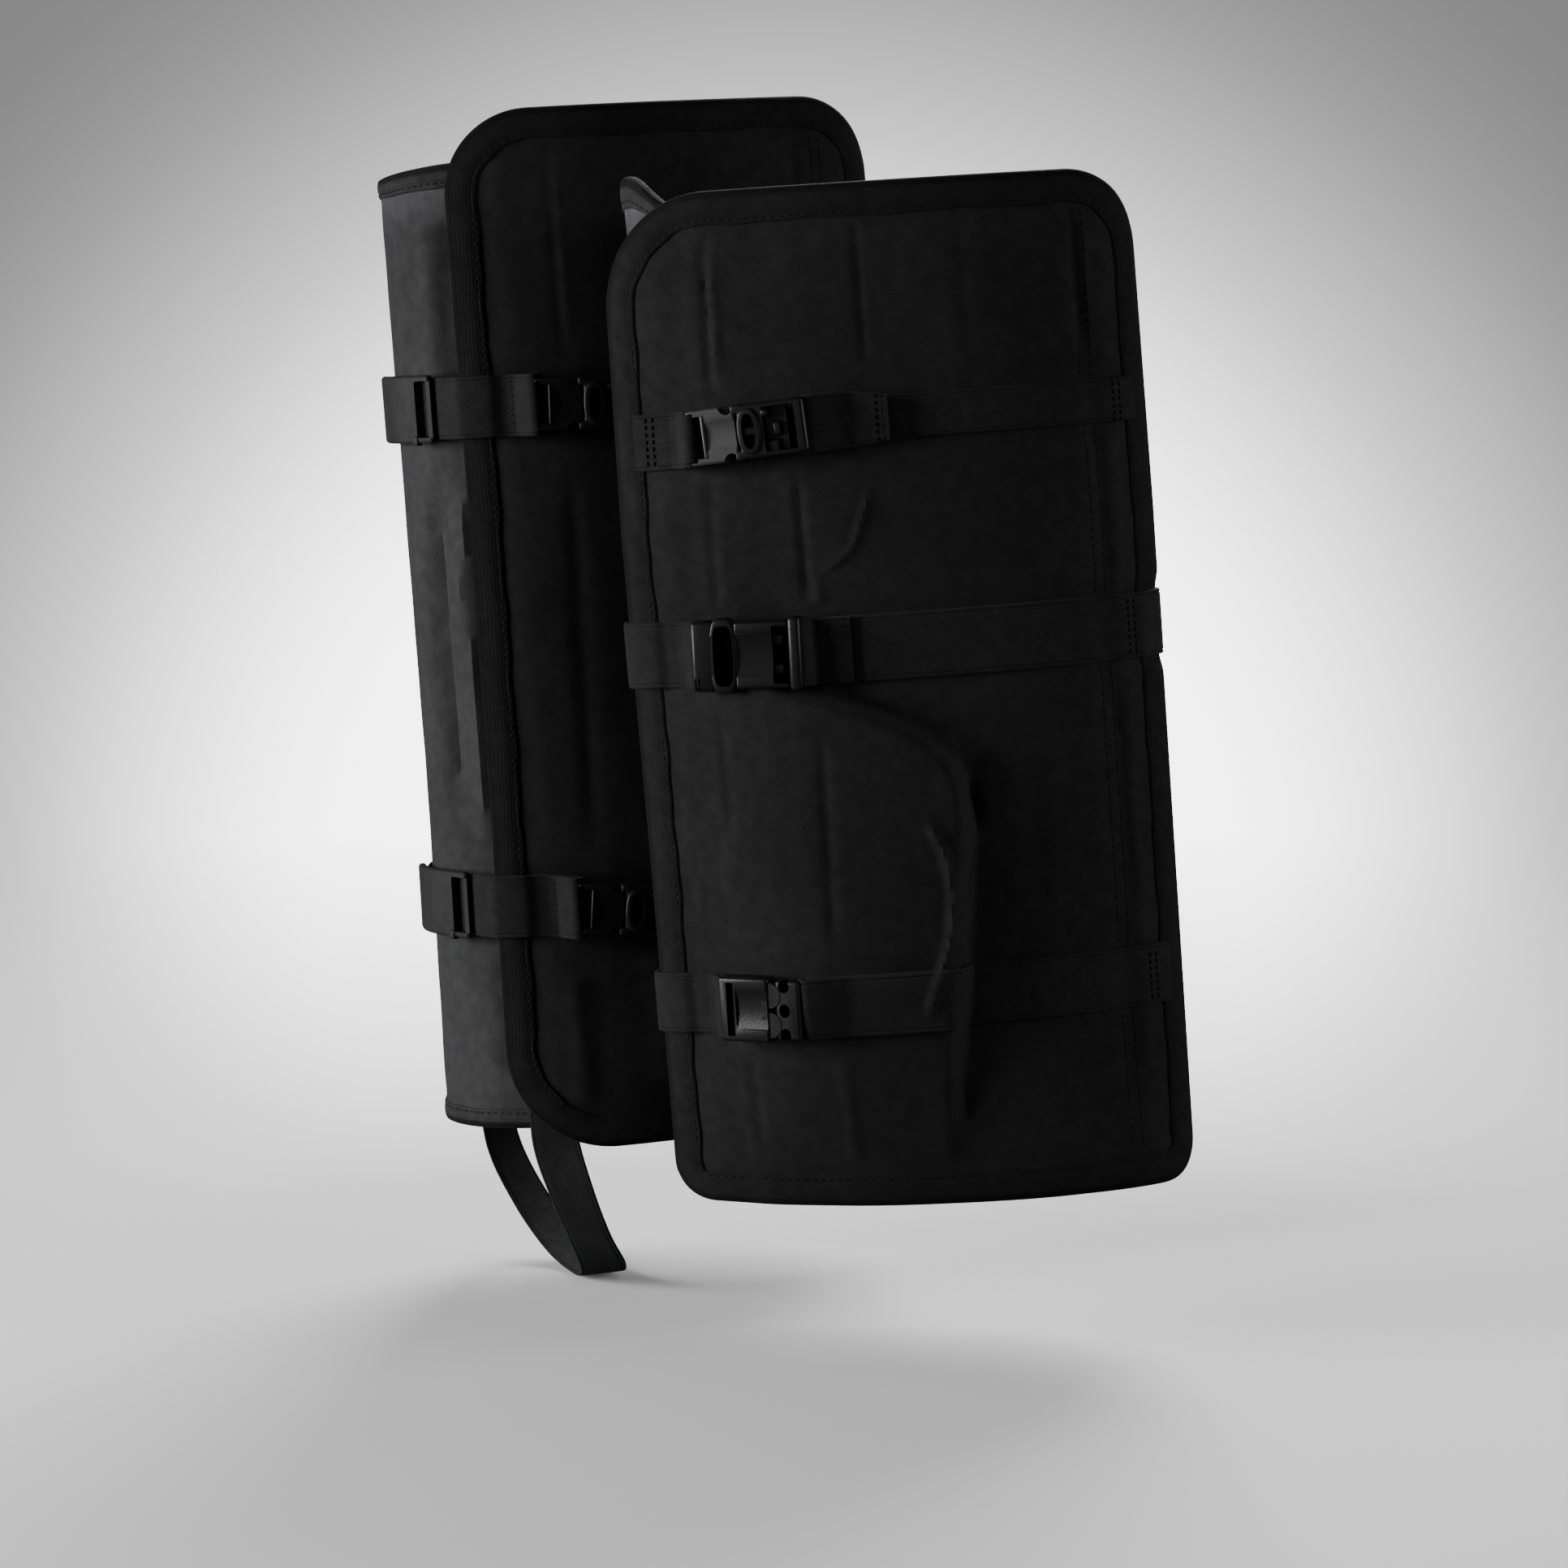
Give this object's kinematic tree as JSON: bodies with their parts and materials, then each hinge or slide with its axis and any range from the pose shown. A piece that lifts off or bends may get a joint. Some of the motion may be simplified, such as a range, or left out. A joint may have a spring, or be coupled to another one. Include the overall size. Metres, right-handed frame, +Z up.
{
  "type": "pair of snake gaiters",
  "caption": "Pair of knee-high protective leg gaiters, worn: hollow fabric wraps, each closed by a tall bound outer flap with webbing straps and side-release buckles.",
  "frame": {"origin": "between the two legs, about halfway up the gaiters, where the wearer holds the pair", "axes": "+Z up along the legs, -Y towards the outer side that the flaps face, +X from the shin side to the calf side of the nearer gaiter"},
  "size_m": [0.339, 0.3019, 0.5103],
  "materials": {
    "flap_cloth": "matt close-woven nylon",
    "wrap_cloth": "matt coated nylon",
    "binding": "grosgrain tape",
    "webbing": "ribbed flat webbing",
    "buckle": "satin moulded plastic"
  },
  "bodies": {
    "root": {"front_flap": "flap_cloth", "front_flap_binding": "binding", "front_lower_latch": "buckle", "front_lower_slide": "buckle", "front_lower_socket": "buckle", "front_lower_strap_long": "webbing", "front_lower_strap_short": "webbing", "front_lower_tail": "webbing", "front_middle_latch": "buckle", "front_middle_slide": "buckle", "front_middle_socket": "buckle", "front_middle_strap_long": "webbing", "front_middle_strap_short": "webbing", "front_upper_latch": "buckle", "front_upper_socket": "buckle", "front_upper_strap_long": "webbing", "front_upper_strap_short": "webbing", "front_upper_tail": "webbing", "front_wrap": "wrap_cloth", "front_wrap_binding": "binding", "rear_flap": "flap_cloth", "rear_flap_binding": "binding", "rear_lower_latch": "buckle", "rear_lower_slide": "buckle", "rear_lower_socket": "buckle", "rear_lower_strap_long": "webbing", "rear_lower_strap_short": "webbing", "rear_stirrup": "webbing", "rear_upper_latch": "buckle", "rear_upper_slide": "buckle", "rear_upper_socket": "buckle", "rear_upper_strap_long": "webbing", "rear_upper_strap_short": "webbing", "rear_wrap": "wrap_cloth", "rear_wrap_binding": "binding"}
  },
  "joints": []
}
